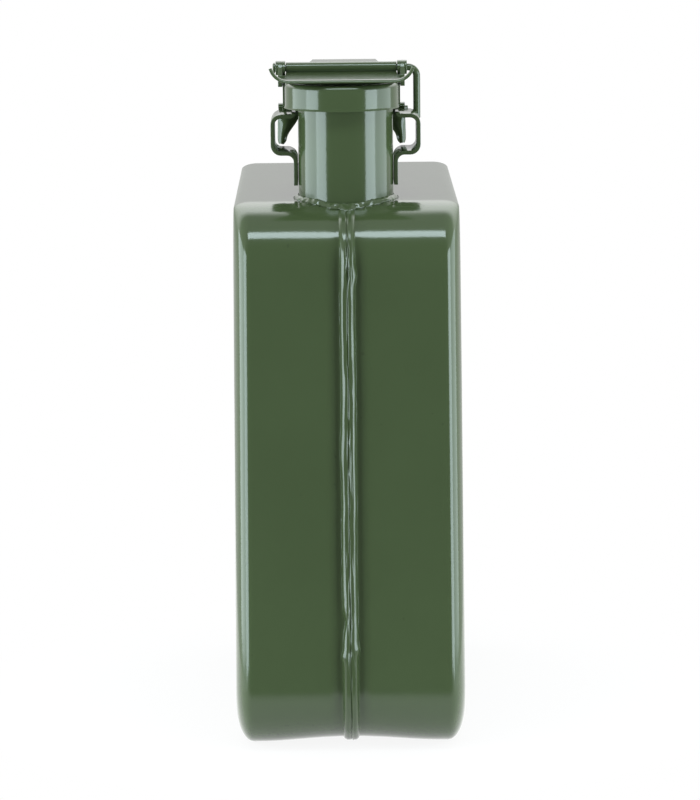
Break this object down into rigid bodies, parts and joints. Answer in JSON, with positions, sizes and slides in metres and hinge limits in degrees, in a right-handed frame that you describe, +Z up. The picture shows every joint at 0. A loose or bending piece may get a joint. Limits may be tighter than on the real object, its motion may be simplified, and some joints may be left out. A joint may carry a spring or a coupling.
{
  "type": "metal jerry can",
  "caption": "Narrow upright pressed-steel jerry can with a raised seam, a filler neck with a hinged lever cap and lock wire, and a carrying handle on top.",
  "frame": {"origin": "on the ground under the middle of the can's bounding box", "axes": "+Z up, -Y towards the narrow end with the filler neck, +X to the right seen from that end"},
  "size_m": [0.1092, 0.236, 0.3243],
  "materials": {
    "green_paint": "glossy olive-green enamel over pressed steel",
    "black_rubber": "matt black sealing rubber",
    "zinc_steel": "bare zinc-plated steel"
  },
  "bodies": {
    "can": {"right_shell": "green_paint", "left_shell": "green_paint", "neck": "green_paint", "neck_weld": "green_paint", "vent_tube": "zinc_steel", "right_loop": "green_paint", "left_loop": "green_paint", "handle": "green_paint", "front_handle_weld": "green_paint", "rear_handle_weld": "green_paint"},
    "cap_set": {"cap": "green_paint", "gasket": "black_rubber", "gasket_retainer": "zinc_steel", "cap_rivet": "green_paint", "cap_bridge": "green_paint", "right_link": "green_paint", "left_link": "green_paint", "right_washer": "green_paint", "left_washer": "green_paint"},
    "lever": {"lever": "green_paint"},
    "lock_wire": {"lock_wire": "green_paint"}
  },
  "joints": [
    {"name": "cap_swing", "type": "hinge", "parent": "can", "child": "cap_set", "pos_m": [0, -0.0438, 0.299], "axis": [-1, 0, 0], "range_deg": [0, 80]},
    {"name": "lever_lift", "type": "hinge", "parent": "cap_set", "child": "lever", "pos_m": [0, -0.0438, 0.3193], "axis": [-1, 0, 0], "range_deg": [0, 45]},
    {"name": "wire_swing", "type": "hinge", "parent": "cap_set", "child": "lock_wire", "pos_m": [0, -0.0438, 0.3193], "axis": [1, 0, 0], "range_deg": [0, 90]}
  ]
}
